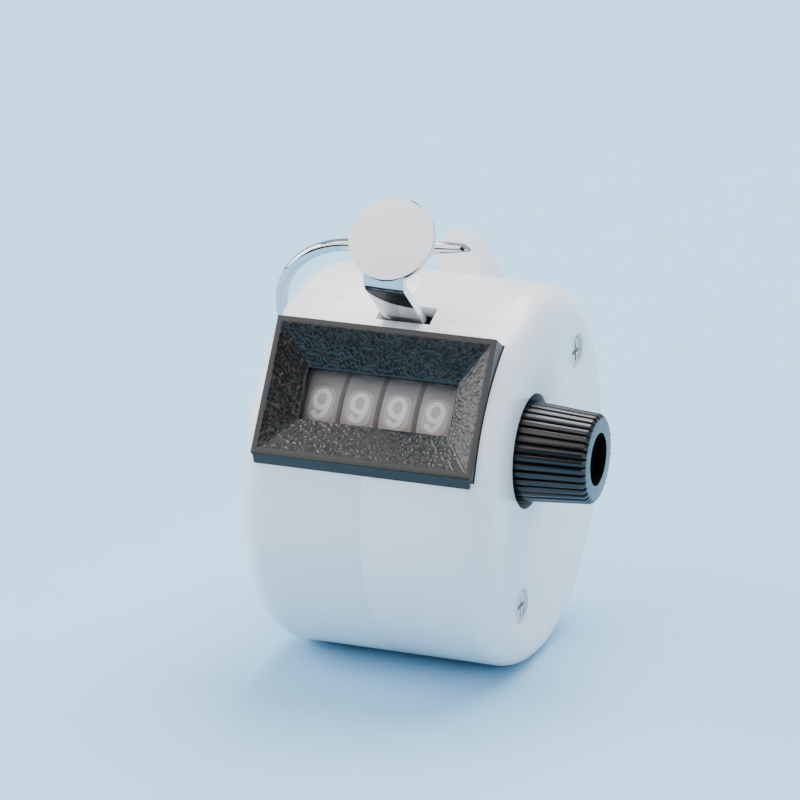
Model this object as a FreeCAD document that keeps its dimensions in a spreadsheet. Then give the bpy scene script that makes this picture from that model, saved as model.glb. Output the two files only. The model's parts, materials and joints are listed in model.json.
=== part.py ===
"""Hand tally counter: a plastic drum with four number wheels, a thumb lever, a reset knob and a finger ring.

Frame: +X towards the reset knob, -Y towards the user, +Z up, in millimetres.
The origin is the centre of the small flat under the drum.
The YZ places below are measured from the drum's own centre line.
"""
import FreeCAD, Part
import math
import os

from FreeCAD import Placement, Rotation, Vector

SIZES = {
    # drum
    "drum_diameter": 43.0,
    "drum_width": 29.16,
    "drum_wall": 1.8,
    "edge_round": 3.2,
    "flat_width": 7.7,
    "seam_gap": 0.02,
    # window bezel, placed on a frame that leans back from the drum's front
    "bezel_lean": 31.57,
    "bezel_width": 25.26,
    "bezel_height": 15.63,
    "bezel_offset": 1.91,
    "bezel_proud": 0.06,
    "bezel_fit": 0.1,
    "rim_width": 0.57,
    "funnel_depth": 1.8,
    "window_width": 17.24,
    "window_height": 5.8,
    "window_offset": -0.12,
    "skirt_drop": 0.85,
    "window_wall": 0.8,
    "lens_thickness": 0.6,
    # number wheels
    "wheel_offset": 0.86,
    "wheel_radius": 9.3,
    "wheel_gap": 0.45,
    "wheel_pitch": 4.38,
    "stack_middle_x": -0.45,
    "rim_thickness": 3.8,
    "ratchet_radius": 5.2,
    "ratchet_depth": 0.9,
    "ratchet_thickness": 0.35,
    "finger_width": 0.22,
    "shaft_radius": 1.5,
    "running_gap": 0.05,
    # reset knob
    "knob_base_radius": 5.51,
    "knob_tip_radius": 4.93,
    "knob_reach": 7.71,
    "knob_recess_radius": 2.93,
    "knob_recess_depth": 2.6,
    "knob_hole_radius": 6.39,
    "knob_flange_radius": 7.2,
    "knob_flange_thickness": 0.7,
    "flute_depth": 0.42,
    # thumb lever
    "lever_width": 4.5,
    "lever_sheet": 0.9,
    "lever_middle_x": 0.5,
    "pad_radius": 4.75,
    "pad_lean": 36.0,
    "pad_drop": 4.96,
    "stem_length": 13.52,
    "stem_slope": 39.0,
    "stem_bend": 1.6,
    "pivot_depth": 3.86,
    "pivot_angle": -18.03,
    "pin_radius": 0.8,
    "pin_gap": 0.03,
    "eye_radius": 1.6,
    "slot_width": 6.3,
    "slot_length": 2.7,
    "lever_swing": 14.0,
    # finger ring and the rib that holds it
    "wire_diameter": 1.48,
    "ring_stand_off": 3.1,
    "ring_top_angle": 26.56,
    "ring_tilt": 20.0,
    "ring_reach": 22.8,
    "ring_corner": 9.2,
    "ring_rest_angle": 6.4,
    "ring_swing": 75.0,
    "ring_end_x": 0.5,
    "stub_length": 3.2,
    "rib_half_width": 2.6,
    "rib_middle_x": 0.2,
    "rib_height": 5.3,
    "rib_start_angle": 24.6,
    # frame and fasteners
    "plate_thickness": 1.0,
    "plate_gap": 0.5,
    "left_plate_inset": 0.88,
    "right_plate_inset": 2.18,
    "bar_radius": 1.2,
    "boss_radius": 2.0,
    "screw_radius": 0.9,
    "screw_head_radius": 1.9,
    "screw_sink": 1.1,
    "screw_inset": 6.42,
    "screw_angle": 36.64,
}

FLUTES = 34
RATCHET_TEETH = 10
WHEEL_NAMES = ["thousands_wheel", "hundreds_wheel", "tens_wheel", "units_wheel"]

doc = FreeCAD.newDocument("tally_counter")
sheet = doc.addObject("Spreadsheet::Sheet", "Sizes")
for row, (alias, number) in enumerate(SIZES.items(), start=1):
    sheet.set("A%d" % row, alias)
    sheet.set("B%d" % row, str(number))
    sheet.setAlias("B%d" % row, alias)
doc.recompute()


def size(alias):
    """Value of one named size, in millimetres or degrees."""
    return float(sheet.get(alias))


CENTRE_HEIGHT = math.sqrt((size("drum_diameter") / 2) ** 2 - (size("flat_width") / 2) ** 2)
HALF = size("drum_width") / 2
OUTER = size("drum_diameter") / 2
FRONT = OUTER + size("bezel_proud")
INNER = OUTER - size("drum_wall")
FAR = 60.0
finished = []


def rim_place(inset, angle):
    """YZ place a depth under the drum's surface, at an angle from its top towards the rear."""
    turn = math.radians(angle)
    return ((OUTER - inset) * math.sin(turn), (OUTER - inset) * math.cos(turn))


def wheel_axis():
    """YZ place of the wheels' axis: one wheel radius and a gap behind the window's clear plate."""
    lean = math.radians(size("bezel_lean"))
    depth = FRONT - size("funnel_depth") - size("window_wall") - size("lens_thickness") \
        - size("wheel_gap") - size("wheel_radius")
    offset = size("wheel_offset")
    return (-depth * math.cos(lean) + offset * math.sin(lean), depth * math.sin(lean) + offset * math.cos(lean))


WHEEL = wheel_axis()
PIVOT = rim_place(size("pivot_depth"), size("pivot_angle"))
FIRST_WHEEL_X = size("stack_middle_x") - 1.5 * size("wheel_pitch")
LEFT_PLATE_X = size("left_plate_inset") - HALF + size("drum_wall")
RIGHT_PLATE_X = HALF - size("drum_wall") - size("right_plate_inset")
# spacer bars between the two side plates: front, rear and lower
BAR_PLACES = [rim_place(5.97, 236.8), rim_place(7.08, 56.3), rim_place(6.24, 148.4)]
# the lever's inner arm runs round the back of the wheels, down to the drive pawl's pin
ARM_Y = WHEEL[0] + size("wheel_radius") + 3.65
ARM_POINTS = [(ARM_Y, WHEEL[1] + 9.26), (ARM_Y, WHEEL[1] - size("wheel_radius") - 1.94)]
PAWL_PLACE = (WHEEL[0] + size("wheel_radius") - 0.42, WHEEL[1] - size("wheel_radius") - 4.94)
# the pawl's fingers end just clear of the ratchets, low on the wheels' rear side
TIP_REACH = size("ratchet_radius") + 0.9
PAWL_TIP = (WHEEL[0] + TIP_REACH * math.sin(math.radians(20)), WHEEL[1] - TIP_REACH * math.cos(math.radians(20)))


# ---------------------------------------------------------------- helpers
def point(x, y, z):
    """A point given from the drum's centre, in the row frame."""
    return Vector(x, y, z + CENTRE_HEIGHT)


def sized(obj, **bound):
    """Bind the object's sizes to expressions on the sheet."""
    for prop, words in bound.items():
        obj.setExpression(prop, words)
    return obj


def rod(name, radius, length, x, place, towards=1):
    """Cylinder along X from x, to -X if towards is -1; the length is an expression or a number."""
    obj = doc.addObject("Part::Cylinder", name)
    sized(obj, Radius=radius)
    if isinstance(length, str):
        sized(obj, Height=length)
    else:
        obj.Height = length
    obj.Placement = Placement(point(x, *place), Rotation(Vector(0, 1, 0), 90 * towards))
    return obj


def block(name, low, high, frame=None):
    """Box between two corners, in the row's axes or in a tilted frame."""
    obj = doc.addObject("Part::Box", name)
    obj.Length = high[0] - low[0]
    obj.Width = high[1] - low[1]
    obj.Height = high[2] - low[2]
    frame = frame or Placement(point(0, 0, 0), Rotation())
    obj.Placement = Placement(frame.multVec(Vector(*low)), frame.Rotation)
    return obj


def cut(name, base, *tools):
    """Base less every tool, one after another."""
    for index, tool in enumerate(tools, start=1):
        obj = doc.addObject("Part::Cut", "%s_%d" % (name, index))
        obj.Base = base
        obj.Tool = tool
        base = obj
    return base


def join(name, *pieces):
    """One solid from touching pieces."""
    obj = doc.addObject("Part::MultiFuse", name)
    obj.Shapes = list(pieces)
    return obj


def group(name, *pieces):
    """Separate solids that share one node."""
    obj = doc.addObject("Part::Compound", name)
    obj.Links = list(pieces)
    return obj


def drawn(name, shape):
    """A feature whose shape is made with Part's own functions."""
    obj = doc.addObject("Part::Feature", name)
    obj.Shape = shape
    return obj


def node(obj, label):
    """Name a finished sub-part."""
    obj.Label = label
    finished.append(obj)
    return obj


def flat_shape(points, x_low, x_high):
    """Flat plate across X from a closed YZ outline."""
    corners = [point(x_low, y, z) for y, z in points]
    face = Part.Face(Part.makePolygon(corners + corners[:1]))
    return face.extrude(Vector(x_high - x_low, 0, 0))


def strip_shape(points, bend, thickness, x_low, x_high):
    """Bent strip across X that follows YZ points, with round bends of one centre-line radius."""
    path = [Vector(0, y, z + CENTRE_HEIGHT) for y, z in points]
    across = Vector(1, 0, 0)
    sides = []
    for side in (1, -1):
        edges = []
        offset = side * thickness / 2
        start = path[0] + across.cross(path[1] - path[0]).normalize() * offset
        for before, corner, after in zip(path, path[1:], path[2:]):
            way_in = (corner - before).normalize()
            way_out = (after - corner).normalize()
            turn = way_in.getAngle(way_out)
            inwards = 1 if across.dot(way_in.cross(way_out)) > 0 else -1
            tangent = bend * math.tan(turn / 2)
            middle = corner - way_in * tangent + across.cross(way_in) * bend * inwards
            radius = bend - inwards * offset
            arc_start = corner - way_in * tangent + across.cross(way_in) * offset
            arc_end = corner + way_out * tangent + across.cross(way_out) * offset
            arc_middle = middle + (corner - middle).normalize() * radius
            edges.append(Part.makeLine(start, arc_start))
            edges.append(Part.Arc(arc_start, arc_middle, arc_end).toShape())
            start = arc_end
        last = (path[-1] - path[-2]).normalize()
        end = path[-1] + across.cross(last) * offset
        edges.append(Part.makeLine(start, end))
        sides.append((edges, edges[0].firstVertex().Point, end))
    caps = [Part.makeLine(sides[0][1], sides[1][1]), Part.makeLine(sides[0][2], sides[1][2])]
    wire = Part.Wire(Part.__sortEdges__(sides[0][0] + sides[1][0] + caps))
    band = Part.Face(wire).extrude(Vector(x_high - x_low, 0, 0))
    band.translate(Vector(x_low, 0, 0))
    return band


def towards(start, end, distance):
    """The YZ point at a distance from start on the way to end."""
    run = math.dist(start, end)
    return tuple(a + (b - a) * distance / run for a, b in zip(start, end))


# the bezel's frame: local x across, local y up the face, local z out of the face
FACE = Placement(point(0, 0, 0), Rotation(Vector(1, 0, 0), 90 - size("bezel_lean")))


def face_block(name, width, low_t, high_t, low_n, high_n, middle=0.0):
    """Box on the bezel's frame, as wide as given about its middle."""
    return block(name, (middle - width / 2, low_t, low_n), (middle + width / 2, high_t, high_n), FACE)


def bezel_span(margin):
    """Lowest and highest place of the bezel's outline up its face, with a margin."""
    half = size("bezel_height") / 2 + margin
    return size("bezel_offset") - half, size("bezel_offset") + half


# ---------------------------------------------------------------- drum shells
def half_drum(side, name):
    """One cup of the drum: side 1 is the knob's side, -1 the other."""
    outer = rod(name + "_outer", "Sizes.drum_diameter / 2",
                "(Sizes.drum_width - Sizes.seam_gap) / 2", side * size("seam_gap") / 2, (0, 0), side)
    inner = rod(name + "_inner", "Sizes.drum_diameter / 2 - Sizes.drum_wall",
                "Sizes.drum_width / 2 - Sizes.drum_wall + 1", -side, (0, 0), side)
    doc.recompute()
    rounded = []
    for obj, radius in ((outer, size("edge_round")),
                        (inner, max(size("edge_round") - size("drum_wall"), 0.3))):
        fillet = doc.addObject("Part::Fillet", obj.Name + "_round")
        fillet.Base = obj
        rims = [index for index, edge in enumerate(obj.Shape.Edges, start=1)
                if edge.BoundBox.XLength < 0.01 and abs(edge.CenterOfMass.x) > HALF / 2]
        fillet.Edges = [(index, radius, radius) for index in rims]
        rounded.append(fillet)
    return cut(name + "_cup", *rounded)


def screw_places():
    """The two housing screws, opposite each other about the drum's centre line."""
    return [rim_place(size("screw_inset"), size("screw_angle")),
            rim_place(size("screw_inset"), size("screw_angle") + 180)]


def shell_openings(name):
    """Tools for the resting flat, the window's opening and the lever's slot."""
    flat = block(name + "_flat", (-FAR, -FAR, -FAR), (FAR, FAR, -CENTRE_HEIGHT))
    fit = size("bezel_fit")
    low, high = bezel_span(fit)
    window = face_block(name + "_window", size("bezel_width") + 2 * fit, low, high, FRONT - 6.56, FAR)
    # the slot lines up with the stem at the middle of its swing
    lean = size("stem_slope") + size("lever_swing") / 2
    slot_frame = Placement(point(size("lever_middle_x"), *PIVOT), Rotation(Vector(1, 0, 0), 90 - lean))
    slot_width, slot_length = size("slot_width"), size("slot_length")
    slot = block(name + "_slot", (-slot_width / 2, -slot_length / 2, 0.0),
                 (slot_width / 2, slot_length / 2, 9.0), slot_frame)
    return [flat, window, slot]


def shell_posts(side, name):
    """Screw posts inside one half, from its end wall to the seam."""
    posts = []
    for index, place in enumerate(screw_places(), start=1):
        posts.append(rod("%s_post_%d" % (name, index), "Sizes.boss_radius",
                         "(Sizes.drum_width - Sizes.seam_gap) / 2 - Sizes.drum_wall / 2",
                         side * size("seam_gap") / 2, place, side))
    return posts


def left_shell():
    """Left half, with blind screw posts."""
    cup = join("left_body", half_drum(-1, "left"), *shell_posts(-1, "left"))
    holes = []
    for index, place in enumerate(screw_places(), start=1):
        holes.append(rod("left_pilot_%d" % index, "Sizes.screw_radius + Sizes.seam_gap", 7.2, 0, place, -1))
    return node(cut("left_half", cup, *holes, *shell_openings("left")), "left_shell")


def rib():
    """Arched rib down the back of the drum that carries both ends of the finger ring."""
    half = size("rib_half_width")
    middle = size("rib_middle_x")
    top = OUTER + size("rib_height")
    shoulder = top - half
    foot = OUTER - size("drum_wall") / 2
    low, high = Vector(middle - half, 0, 0), Vector(middle + half, 0, 0)
    corners = [low + Vector(0, 0, foot), low + Vector(0, 0, shoulder),
               high + Vector(0, 0, shoulder), high + Vector(0, 0, foot)]
    arch = Part.Arc(corners[1], Vector(middle, 0, top), corners[2]).toShape()
    wire = Part.Wire([Part.makeLine(corners[0], corners[1]), arch,
                      Part.makeLine(corners[2], corners[3]), Part.makeLine(corners[3], corners[0])])
    profile = Part.Face(wire)
    profile.rotate(Vector(0, 0, 0), Vector(-1, 0, 0), size("rib_start_angle"))
    solid = profile.revolve(Vector(0, 0, 0), Vector(-1, 0, 0), 125 - size("rib_start_angle"))
    solid.translate(point(0, 0, 0))
    return drawn("rib_sweep", solid)


def ring_frame():
    """Ring's frame: local z down its hinge line, local x out to the left, local y to the rear."""
    down = Vector(0, math.sin(math.radians(size("ring_tilt"))), -math.cos(math.radians(size("ring_tilt"))))
    left = Vector(-1, 0, 0)
    rear = down.cross(left)
    turn = Rotation(left, rear, down, "ZXY")
    return Placement(point(size("ring_end_x"), *rim_place(-size("ring_stand_off"), size("ring_top_angle"))), turn)


def ring_span():
    """Length of the hinge line: a chord between two places that stand off the drum alike."""
    aside = math.radians(size("ring_top_angle") + size("ring_tilt"))
    return 2 * (OUTER + size("ring_stand_off")) * math.cos(aside)


def ring_room():
    """Room in the rib for the ring's top arm, its two pivot ends, and everything below its lower arm."""
    frame = ring_frame()
    reach = size("wire_diameter") / 2 + 0.2
    rest = math.radians(-size("ring_rest_angle"))
    stop = rest + math.radians(size("ring_swing"))

    def turned(angle, along, aside):
        return (along * math.cos(angle) - aside * math.sin(angle),
                along * math.sin(angle) + aside * math.cos(angle))

    outline = [turned(rest, -0.7, -reach), turned(rest, 12, -reach),
               turned(stop, 12, reach), turned(stop, -0.7, reach)]
    corners = [Vector(a, b, -reach) for a, b in outline]
    sector = Part.Face(Part.makePolygon(corners + corners[:1])).extrude(Vector(0, 0, 2 * reach))
    hole_radius = size("wire_diameter") / 2 + size("running_gap")
    depth = size("stub_length") + 0.5
    span = ring_span()
    top_hole = Part.makeCylinder(hole_radius, depth, Vector(0, 0, 0), Vector(0, 0, 1))
    low_hole = Part.makeCylinder(hole_radius, depth, Vector(0, 0, span), Vector(0, 0, -1))
    below = Part.makeBox(40, 40, 30, Vector(-20, -15, span - reach))
    pieces = []
    for index, shape in enumerate((sector, top_hole, low_hole, below), start=1):
        piece = drawn("ring_room_%d" % index, shape)
        piece.Placement = frame
        pieces.append(piece)
    return pieces


def right_shell():
    """Right half: knob hole, sunk screw holes and the ring's rib."""
    cup = join("right_body", half_drum(1, "right"), *shell_posts(1, "right"))
    clear_left = rod("rib_clear", "Sizes.drum_diameter / 2 + Sizes.seam_gap", 20, size("seam_gap") / 2, (0, 0), -1)
    loop_rib = cut("rib", rib(), clear_left, *ring_room())
    tools = shell_openings("right")
    tools.append(rod("knob_hole", "Sizes.knob_hole_radius", 10, HALF - 5, WHEEL))
    for index, place in enumerate(screw_places(), start=1):
        tools.append(rod("right_hole_%d" % index, "Sizes.screw_radius + 2 * Sizes.running_gap", 20, 0, place))
        tools.append(rod("right_sink_%d" % index, "Sizes.screw_head_radius + 0.15", 5,
                         HALF - size("screw_sink"), place))
    return node(cut("right_half", join("right_with_rib", cup, loop_rib), *tools), "right_shell")


# ---------------------------------------------------------------- window
def bezel():
    """Frame with four sloping faces round the window; lips behind its long edges hold it in the shells."""
    low, high = bezel_span(0)
    width = size("bezel_width")
    back = FRONT - 4.7
    outer = face_block("bezel_outer", width, low, high, back, FRONT)
    top_lip = face_block("bezel_top_lip", width - 1.4, high - 1.2, high + 0.7, back - 1.5, back - 0.3)
    top_web = face_block("bezel_top_web", width - 1.4, high - 1.2, high - 0.1, back - 0.4, back + 0.4)
    low_lip = face_block("bezel_low_lip", width - 1.4, low - 0.7, low + 0.8, back - 0.6, back + 0.4)
    sill = FRONT - size("funnel_depth")
    cavity = face_block("bezel_cavity", width - 3.2, low + 1.7, high - 1.7,
                        back - 1, sill - size("window_wall") - size("lens_thickness") + 0.05)
    middle = size("bezel_offset") + size("window_offset")
    window = face_block("bezel_window", size("window_width"), middle - size("window_height") / 2,
                        middle + size("window_height") / 2, back, FRONT + 1)
    seat = lens_block("bezel_lens_seat", 0.06, back - 1)
    funnel = doc.addObject("Part::Wedge", "bezel_funnel")
    rim = size("rim_width")
    over = 1.0
    half_w, half_h = width / 2 - rim, size("bezel_height") / 2 - rim
    slope_x = (half_w - size("window_width") / 2) / size("funnel_depth")
    slope_t = (half_h - size("window_height") / 2) / size("funnel_depth")
    funnel.Xmin, funnel.Xmax = -size("window_width") / 2, size("window_width") / 2
    funnel.Ymin, funnel.Ymax = 0, size("funnel_depth") + over
    funnel.Zmin = -middle - size("window_height") / 2
    funnel.Zmax = -middle + size("window_height") / 2
    funnel.X2min, funnel.X2max = -half_w - slope_x * over, half_w + slope_x * over
    funnel.Z2min = -size("bezel_offset") - half_h - slope_t * over
    funnel.Z2max = -size("bezel_offset") + half_h + slope_t * over
    turn = Rotation(Vector(1, 0, 0), 180 - size("bezel_lean"))
    funnel.Placement = Placement(FACE.multVec(Vector(0, 0, sill)), turn)
    body = join("bezel_body", outer, top_lip, top_web, low_lip, bezel_skirt(low, width / 2 - 0.2))
    return node(cut("bezel_cut", body, funnel, window, cavity, seat), "bezel")


def bezel_skirt(low, half_width):
    """Sloping foot below the frame's lower edge, down to the drum's surface."""
    above = 0.02
    bottom = low - size("skirt_drop")
    places = [(low + 0.3, FRONT), (low, FRONT), (bottom, math.sqrt(OUTER ** 2 - bottom ** 2) + above),
              (low, math.sqrt(OUTER ** 2 - low ** 2) + above), (low + 0.3, math.sqrt(OUTER ** 2 - low ** 2) + above)]
    corners = [FACE.multVec(Vector(-half_width, t, n)) for t, n in places]
    face = Part.Face(Part.makePolygon(corners + corners[:1]))
    return drawn("bezel_skirt", face.extrude(Vector(2 * half_width, 0, 0)))


def lens_block(name, margin, back=None):
    """The clear plate behind the window, or its seat with a margin."""
    middle = size("bezel_offset") + size("window_offset")
    front = FRONT - size("funnel_depth") - size("window_wall")
    half_height = size("window_height") / 2 + 1.1 + margin
    low_n = front - size("lens_thickness") if back is None else back
    return face_block(name, size("window_width") + 2.2 + 2 * margin, middle - half_height,
                      middle + half_height, low_n, front)


def window_lens():
    """Clear plate over the digits."""
    return node(lens_block("lens_plate", 0), "window_lens")


# ---------------------------------------------------------------- number wheels and reset
def number_wheels():
    """Four wheels on one shaft, each a dished rim with a ten-tooth ratchet on its right side."""
    for index, name in enumerate(WHEEL_NAMES):
        middle = FIRST_WHEEL_X + index * size("wheel_pitch")
        left = middle - size("rim_thickness") / 2
        rim = rod(name + "_rim", "Sizes.wheel_radius", "Sizes.rim_thickness", left, WHEEL)
        dish = rod(name + "_dish", "Sizes.wheel_radius - 1.2", 1.6, left - 0.1, WHEEL)
        hub = rod(name + "_hub", "Sizes.shaft_radius + 1.6", "Sizes.rim_thickness", left, WHEEL)
        teeth = []
        for step in range(RATCHET_TEETH):
            angle = 2 * math.pi * step / RATCHET_TEETH
            for shift, radius in ((0.0, size("ratchet_radius")),
                                  (0.05, size("ratchet_radius") - size("ratchet_depth"))):
                teeth.append((WHEEL[0] + radius * math.cos(angle + shift),
                              WHEEL[1] + radius * math.sin(angle + shift)))
        right = middle + size("rim_thickness") / 2
        ratchet = drawn(name + "_ratchet", flat_shape(teeth, right - 0.2, right + size("ratchet_thickness")))
        bore = rod(name + "_bore", "Sizes.shaft_radius + Sizes.running_gap", 12, middle - 6, WHEEL)
        body = join(name + "_body", cut(name + "_ring", rim, dish), hub, ratchet)
        node(cut(name + "_cut", body, bore), name)


def wheel_gap(index):
    """Middle of the gap on the right of one wheel, where the ratchet's fingers run."""
    return FIRST_WHEEL_X + (index + 0.5) * size("wheel_pitch")


def reset_group():
    """Shaft, its clip, the two spacer sleeves and the knob."""
    left_end = LEFT_PLATE_X - 0.58
    shaft_end = HALF + size("knob_reach") - size("knob_recess_depth") - 1.8
    shaft = rod("shaft_rod", "Sizes.shaft_radius", shaft_end - left_end, left_end, WHEEL)
    groove = block("shaft_groove", (FIRST_WHEEL_X - 1.6, WHEEL[0] - 0.3, WHEEL[1] + size("shaft_radius") - 0.5),
                   (RIGHT_PLATE_X - 1.8, WHEEL[0] + 0.3, WHEEL[1] + size("shaft_radius") + 1))
    clip_groove = cut("clip_groove", rod("clip_groove_outer", "Sizes.shaft_radius + 1", 0.44, left_end + 0.02, WHEEL),
                      rod("clip_groove_inner", "Sizes.shaft_radius - 0.3", 2, left_end - 0.5, WHEEL))
    node(cut("shaft_cut", shaft, groove, clip_groove), "reset_shaft")
    disc = rod("clip_disc", "Sizes.shaft_radius + 1.1", 0.4, left_end + 0.04, WHEEL)
    clip_bore = rod("clip_bore", "Sizes.shaft_radius - 0.28", 2, left_end - 0.5, WHEEL)
    mouth = block("clip_mouth", (left_end - 1, WHEEL[0] - 0.9, WHEEL[1] - 5), (left_end + 2, WHEEL[0] + 0.9, WHEEL[1]))
    node(cut("clip_cut", disc, clip_bore, mouth), "shaft_clip")
    ratchet_end = FIRST_WHEEL_X + 3 * size("wheel_pitch") \
        + size("rim_thickness") / 2 + size("ratchet_thickness")
    wheels_start = FIRST_WHEEL_X - size("rim_thickness") / 2
    left_face = LEFT_PLATE_X + size("plate_thickness")
    for name, low, high in (("left_spacer_sleeve", left_face + 0.05, wheels_start - 0.25),
                            ("right_spacer_sleeve", ratchet_end + 0.25, RIGHT_PLATE_X - 0.05)):
        sleeve = rod(name + "_outer", "Sizes.shaft_radius + 1.2", high - low, low, WHEEL)
        bore = rod(name + "_bore", "Sizes.shaft_radius + Sizes.running_gap", 8, low - 2, WHEEL)
        node(cut(name + "_cut", sleeve, bore), name)
    node(knob(shaft_end), "reset_knob")


def flute_wire(radius, depth, x):
    """Closed outline of the knob's fluted barrel at one place along X."""
    corners = []
    step = 2 * math.pi / FLUTES
    for index in range(FLUTES):
        # crest, then the flute's floor, as shares of one flute's pitch
        for share, reach in ((-0.30, radius), (0.0, radius + 0.03), (0.30, radius), (0.44, radius - depth),
                             (0.56, radius - depth)):
            angle = (index + share) * step
            corners.append(point(x, WHEEL[0] + reach * math.cos(angle), WHEEL[1] + reach * math.sin(angle)))
    return Part.makePolygon(corners + corners[:1])


def knob(shaft_end):
    """Tapered fluted barrel with a flange inside the drum and a round recess in its tip."""
    base, tip = size("knob_base_radius"), size("knob_tip_radius")
    depth = size("flute_depth")
    taper = (base - tip) / size("knob_reach")
    end = HALF + size("knob_reach")
    start = HALF - size("drum_wall") - 0.35
    chamfer = 0.35
    sections = [flute_wire(base + (HALF - start) * taper, depth, start),
                flute_wire(tip + chamfer * taper, depth, end - chamfer),
                flute_wire(tip - chamfer, 0.15, end)]
    barrel = drawn("knob_barrel", Part.makeLoft(sections, True, True))
    flange = rod("knob_flange", "Sizes.knob_flange_radius", "Sizes.knob_flange_thickness",
                 HALF - size("drum_wall") - 0.3 - size("knob_flange_thickness"), WHEEL)
    recess = rod("knob_recess", "Sizes.knob_recess_radius", 6, end - size("knob_recess_depth"), WHEEL)
    bore = rod("knob_bore", "Sizes.shaft_radius + Sizes.seam_gap", shaft_end + 0.02, 0, WHEEL)
    return cut("knob_cut", join("knob_body", barrel, flange), recess, bore)


# ---------------------------------------------------------------- thumb lever and drive pawl
def thumb_lever():
    """Bent sheet lever: round pad, stem, rolled eye on the pivot pin, and the arm down to the pawl."""
    slope = math.radians(size("stem_slope"))
    lean = math.radians(size("pad_lean"))
    corner = (PIVOT[0] - size("stem_length") * math.cos(slope), PIVOT[1] + size("stem_length") * math.sin(slope))
    pad = (corner[0] + size("pad_drop") * math.sin(lean), corner[1] + size("pad_drop") * math.cos(lean))
    left = size("lever_middle_x") - size("lever_width") / 2
    right = left + size("lever_width")
    sheet_thickness = size("lever_sheet")
    stem = drawn("lever_stem", strip_shape([pad, corner, PIVOT], size("stem_bend"), sheet_thickness, left, right))
    arm = drawn("lever_arm", strip_shape([PIVOT] + ARM_POINTS + [PAWL_PLACE], 1.4, sheet_thickness, left, right))
    disc = doc.addObject("Part::Cylinder", "lever_pad")
    sized(disc, Radius="Sizes.pad_radius", Height="Sizes.lever_sheet")
    normal = Vector(0, -math.cos(lean), math.sin(lean))
    centre = point(size("lever_middle_x"), *pad)
    disc.Placement = Placement(centre - normal * (sheet_thickness / 2), Rotation(Vector(0, 0, 1), normal))
    eyes, bores = [], []
    for name, place in (("pivot", PIVOT), ("pawl", PAWL_PLACE)):
        eyes.append(rod("lever_%s_eye" % name, "Sizes.eye_radius", "Sizes.lever_width", left, place))
        bores.append(rod("lever_%s_bore" % name, "Sizes.pin_radius + Sizes.pin_gap", 20, left - 5, place))
    return node(cut("lever_cut", join("lever_body", stem, arm, disc, *eyes), *bores), "thumb_lever")


def drive_pawl():
    """Comb of four fingers that pushes the wheels' ratchets, hung on two ears."""
    left = size("lever_middle_x") - size("lever_width") / 2
    right = left + size("lever_width")
    ear = 1.2
    bar_place = towards(PAWL_PLACE, PAWL_TIP, 3.1)
    pieces = []
    for name, low in (("left", left - 0.3 - ear), ("right", right + 0.3)):
        pieces.append(drawn("pawl_%s_ear" % name, strip_shape([PAWL_PLACE, bar_place], 1, 1.6, low, low + ear)))
        pieces.append(rod("pawl_%s_eye" % name, "Sizes.eye_radius", ear, low, PAWL_PLACE))
    half = size("finger_width") / 2
    first, last = wheel_gap(0) - half, wheel_gap(3) + half
    bar = strip_shape([towards(PAWL_PLACE, PAWL_TIP, 2.4), towards(PAWL_PLACE, PAWL_TIP, 3.8)], 1, 0.9, first, last)
    pieces.append(drawn("pawl_bar", bar))
    for index in range(len(WHEEL_NAMES)):
        middle = wheel_gap(index)
        pieces.append(drawn("pawl_finger_%d" % index,
                            strip_shape([bar_place, PAWL_TIP], 1, 0.8, middle - half, middle + half)))
    bore = rod("pawl_bore", "Sizes.pin_radius + Sizes.pin_gap", 30, -15, PAWL_PLACE)
    return node(cut("pawl_cut", join("pawl_body", *pieces), bore), "drive_pawl")


def pins():
    """The lever's pivot pin in the side plates, and the pawl's pin in the lever's arm."""
    length = RIGHT_PLATE_X + size("plate_thickness") - LEFT_PLATE_X
    node(rod("pivot_rod", "Sizes.pin_radius", length, LEFT_PLATE_X, PIVOT), "lever_pivot_pin")
    half = size("lever_width") / 2 + 1.8
    node(rod("pawl_rod", "Sizes.pin_radius", 2 * half, size("lever_middle_x") - half, PAWL_PLACE), "pawl_pin")


def coil(name, place, x, turns, label):
    """Torsion spring round a pin, its turns close together."""
    wire = 0.18
    rings = []
    for turn in range(turns):
        ring = doc.addObject("Part::Torus", "%s_turn_%d" % (name, turn))
        ring.Radius1 = size("pin_radius") + 0.55
        ring.Radius2 = wire
        ring.Placement = Placement(point(x + wire + turn * wire * 1.7, *place), Rotation(Vector(0, 1, 0), 90))
        rings.append(ring)
    return node(join(name + "_body", *rings), label)


# ---------------------------------------------------------------- frame, detent and fasteners
def frame_plates():
    """Side plates that carry the shaft and the pivot pin, standing on the screw posts."""
    for name, x in (("left_frame_plate", LEFT_PLATE_X), ("right_frame_plate", RIGHT_PLATE_X)):
        disc = rod(name + "_disc", "Sizes.drum_diameter / 2 - Sizes.drum_wall - Sizes.plate_gap",
                   "Sizes.plate_thickness", x, (0, 0))
        tools = [face_block(name + "_front", 60, -FAR, FAR, FRONT - 6.56, FAR)]
        tools.append(rod(name + "_shaft", "Sizes.shaft_radius + Sizes.running_gap", 6, x - 2, WHEEL))
        tools.append(rod(name + "_pivot", "Sizes.pin_radius + Sizes.seam_gap", 6, x - 2, PIVOT))
        for index, place in enumerate(screw_places(), start=1):
            tools.append(rod("%s_post_%d" % (name, index), "Sizes.boss_radius + 0.1", 6, x - 2, place))
        node(cut(name + "_cut", disc, *tools), name)


def spacer_bars():
    """Three bars that hold the side plates apart."""
    low = LEFT_PLATE_X + size("plate_thickness") + 0.02
    bars = []
    for index, place in enumerate(BAR_PLACES, start=1):
        bars.append(rod("bar_%d" % index, "Sizes.bar_radius", RIGHT_PLATE_X - 0.02 - low, low, place))
    node(group("bars", *bars), "frame_spacer_bars")


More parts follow.
